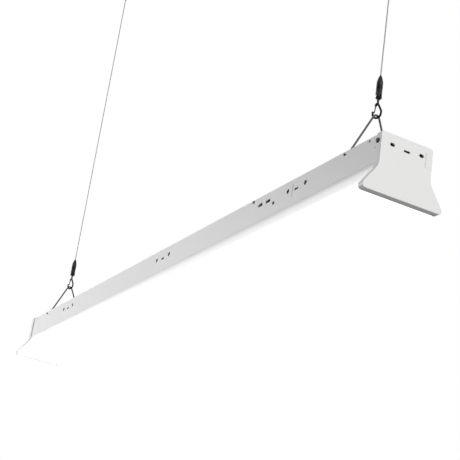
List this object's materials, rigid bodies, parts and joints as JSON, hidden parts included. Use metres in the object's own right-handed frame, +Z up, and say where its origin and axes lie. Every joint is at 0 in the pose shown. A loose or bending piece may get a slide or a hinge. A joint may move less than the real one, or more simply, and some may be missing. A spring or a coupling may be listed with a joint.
{
  "type": "hanging LED shop light",
  "caption": "Long hanging LED shop light with a flared opal lens, white housing and cap ends, on steel cables with snap hooks and wire V-hooks.",
  "frame": {"origin": "on the ceiling plane, midway between the two ceiling brackets", "axes": "+X along the light to the end with the switches, +Z up into the ceiling, +Y to the plain long side"},
  "size_m": [1.2, 0.118, 0.867],
  "materials": {
    "white_sheet": "painted",
    "cap_plastic": "gloss",
    "dark_screw": "satin",
    "opal_lens": "satin",
    "plated_steel": "brushed",
    "led": "matte",
    "white_board": "satin",
    "circuit_board": "gloss",
    "pale_plastic": "gloss",
    "green_screw": "satin",
    "black_plastic": "matte",
    "wire_cover": "matte",
    "hook_wire": "satin",
    "black_hook": "satin",
    "black_gripper": "satin",
    "steel_cable": "satin"
  },
  "bodies": {
    "ceiling": {"ceiling_bracket_right": "plated_steel", "ceiling_bracket_left": "plated_steel", "sway_pin_right": "plated_steel", "sway_pin_left": "plated_steel"},
    "toggle_right": {"toggle_right": "plated_steel"},
    "drop_right": {"swing_pin_right": "plated_steel", "cable_fork_right": "plated_steel", "cable_right": "steel_cable", "gripper_body_right": "black_gripper", "gripper_spring_right": "plated_steel", "hook_pin_right": "plated_steel"},
    "release_right": {"gripper_plunger_right": "black_gripper", "gripper_balls_right": "plated_steel"},
    "hook_right": {"snap_hook_right": "black_hook", "gate_pin_right": "plated_steel"},
    "gate_right": {"hook_gate_right": "black_hook"},
    "toggle_left": {"toggle_left": "plated_steel"},
    "drop_left": {"swing_pin_left": "plated_steel", "cable_fork_left": "plated_steel", "cable_left": "steel_cable", "gripper_body_left": "black_gripper", "gripper_spring_left": "plated_steel", "hook_pin_left": "plated_steel"},
    "release_left": {"gripper_plunger_left": "black_gripper", "gripper_balls_left": "plated_steel"},
    "hook_left": {"snap_hook_left": "black_hook", "gate_pin_left": "plated_steel"},
    "gate_left": {"hook_gate_left": "black_hook"},
    "light": {"housing": "white_sheet", "end_cap_right": "cap_plastic", "end_cap_left": "cap_plastic", "end_cap_screws": "dark_screw", "lens": "opal_lens", "gear_tray": "white_sheet", "tray_standoffs": "plated_steel", "tray_screws": "plated_steel", "led_board_front_right": "white_board", "led_board_front_left": "white_board", "led_board_back_right": "white_board", "led_board_back_left": "white_board", "leds_front": "led", "leds_back": "led", "driver_case": "plated_steel", "driver_lid": "plated_steel", "driver_board": "circuit_board", "driver_screws": "plated_steel", "terminal_block": "pale_plastic", "ground_screw": "green_screw", "supply_bushing": "black_plastic", "inner_wires": "wire_cover", "selector_plate": "plated_steel", "selector_screws": "dark_screw", "power_switch": "black_plastic", "colour_switch": "black_plastic", "v_hook_right": "hook_wire", "v_hook_left": "hook_wire"},
    "power_slider": {"power_slider": "black_plastic"},
    "colour_slider": {"colour_slider": "black_plastic"}
  },
  "joints": [
    {"name": "sway_right", "type": "hinge", "parent": "ceiling", "child": "toggle_right", "pos_m": [0.524, 0, -0.014], "axis": [1, 0, 0], "range_deg": [-25, 25]},
    {"name": "swing_right", "type": "hinge", "parent": "toggle_right", "child": "drop_right", "pos_m": [0.524, 0, -0.03], "axis": [0, 1, 0], "range_deg": [-12, 12]},
    {"name": "level_right", "type": "hinge", "parent": "drop_right", "child": "hook_right", "pos_m": [0.524, 0, -0.697], "axis": [0, 1, 0], "range_deg": [-12, 12]},
    {"name": "gate_right", "type": "hinge", "parent": "hook_right", "child": "gate_right", "pos_m": [0.52192, -0.0012, -0.7082], "axis": [0.5, -0.866, 0], "range_deg": [0, 30], "stiffness_Nm_per_rad": 0.02, "springref_deg": -17.19},
    {"name": "release_right", "type": "slide", "parent": "drop_right", "child": "release_right", "axis": [0, 0, -1], "range_m": [0, 0.0018], "stiffness_N_per_m": 400, "springref_m": -0.003, "deforming": ["gripper_spring_right"]},
    {"name": "sway_left", "type": "hinge", "parent": "ceiling", "child": "toggle_left", "pos_m": [-0.524, 0, -0.014], "axis": [1, 0, 0], "range_deg": [-25, 25]},
    {"name": "swing_left", "type": "hinge", "parent": "toggle_left", "child": "drop_left", "pos_m": [-0.524, 0, -0.03], "axis": [0, 1, 0], "range_deg": [-12, 12]},
    {"name": "level_left", "type": "hinge", "parent": "drop_left", "child": "hook_left", "pos_m": [-0.524, 0, -0.697], "axis": [0, 1, 0], "range_deg": [-12, 12]},
    {"name": "gate_left", "type": "hinge", "parent": "hook_left", "child": "gate_left", "pos_m": [-0.52608, -0.0012, -0.7082], "axis": [0.5, -0.866, 0], "range_deg": [0, 30], "stiffness_Nm_per_rad": 0.02, "springref_deg": -17.19},
    {"name": "release_left", "type": "slide", "parent": "drop_left", "child": "release_left", "axis": [0, 0, -1], "range_m": [0, 0.0018], "stiffness_N_per_m": 400, "springref_m": -0.003, "deforming": ["gripper_spring_left"]},
    {"name": "rock", "type": "hinge", "parent": "hook_right", "child": "light", "pos_m": [0.524, 0, -0.7287], "axis": [1, 0, 0], "range_deg": [-15, 15]},
    {"name": "power_select", "type": "slide", "parent": "light", "child": "power_slider", "axis": [1, 0, 0], "range_m": [-0.0025, 0.0025]},
    {"name": "colour_select", "type": "slide", "parent": "light", "child": "colour_slider", "axis": [1, 0, 0], "range_m": [-0.0025, 0.0025]}
  ],
  "couplings": [
    {"joint": "sway_left", "follows": "sway_right", "ratio": 1},
    {"joint": "swing_left", "follows": "swing_right", "ratio": 1},
    {"joint": "level_right", "follows": "swing_right", "ratio": -1},
    {"joint": "level_left", "follows": "swing_right", "ratio": -1}
  ]
}
